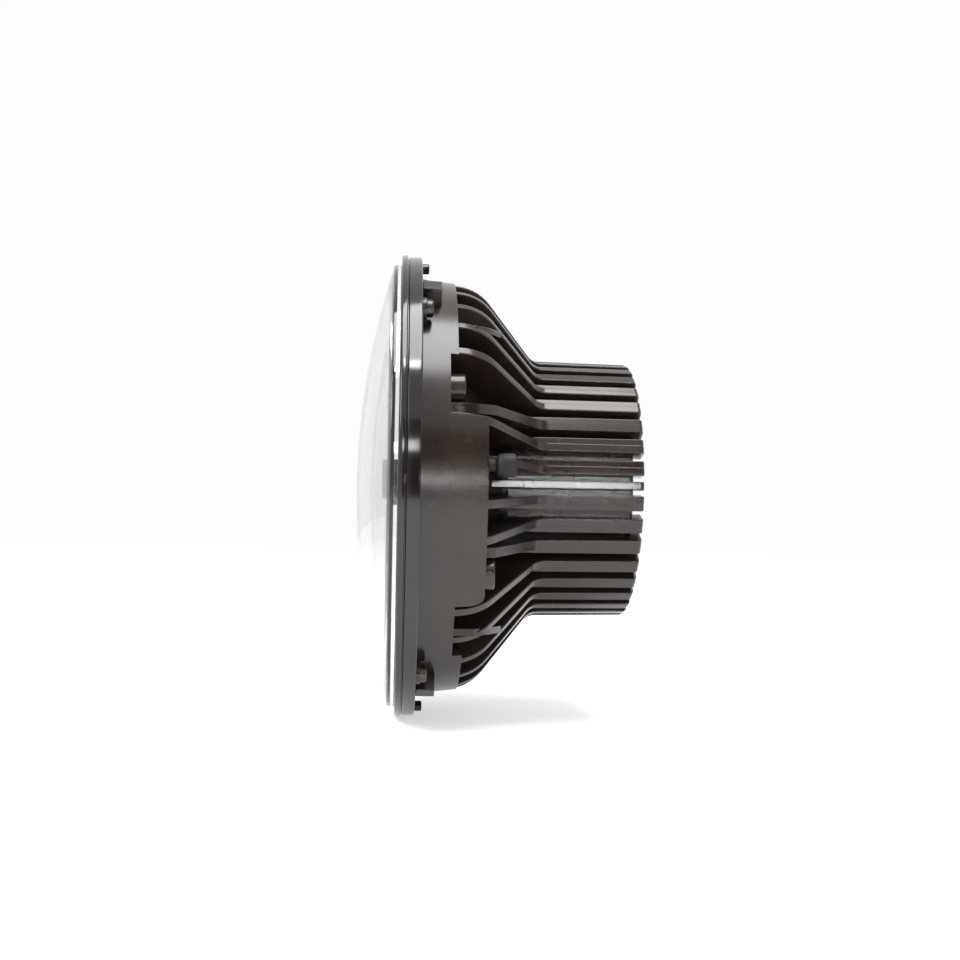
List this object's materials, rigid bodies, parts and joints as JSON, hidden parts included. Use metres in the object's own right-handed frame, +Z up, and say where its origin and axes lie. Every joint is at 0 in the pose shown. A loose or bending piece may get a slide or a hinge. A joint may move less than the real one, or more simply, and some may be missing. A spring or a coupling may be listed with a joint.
{
  "type": "motorcycle headlight insert",
  "caption": "Round LED motorcycle headlight insert: domed lens, black rim and a finned die-cast housing that narrows to the rear.",
  "frame": {"origin": "on the lamp's axis, in the plane of the rim's rear face", "axes": "lens faces -Y, finned core points to +Y, +Z is up as on the motorcycle"},
  "size_m": [0.1776, 0.1048, 0.1776],
  "materials": {
    "lens": "clear",
    "rim": "gloss black",
    "casting": "black powder coat over die-cast aluminium",
    "rubber": "matt black",
    "screw": "black zinc",
    "bezel": "gloss black",
    "reflector": "vapour coated mirror",
    "carrier": "milled",
    "board": "white solder mask",
    "chip": "phosphor",
    "guide": "milky clear",
    "driver": "green solder mask",
    "component": "moulded black"
  },
  "bodies": {
    "root": {"lens": "lens", "lens_sealant": "rubber", "rim_ring": "rim", "housing": "casting", "housing_gasket": "rubber", "rim_screws": "screw", "inner_bezel": "bezel", "reflector_upper": "reflector", "reflector_lower": "reflector", "reflector_screws": "screw", "led_carrier": "carrier", "carrier_screws": "screw", "led_board_upper": "board", "led_board_lower": "board", "leds_upper": "chip", "leds_lower": "chip", "board_screws": "screw", "position_light_ring": "guide", "position_light_board": "board", "position_leds": "chip", "driver_board": "driver", "driver_components": "component", "driver_screws": "screw", "vent_plug": "rubber", "cable_grommet": "rubber"}
  },
  "joints": []
}
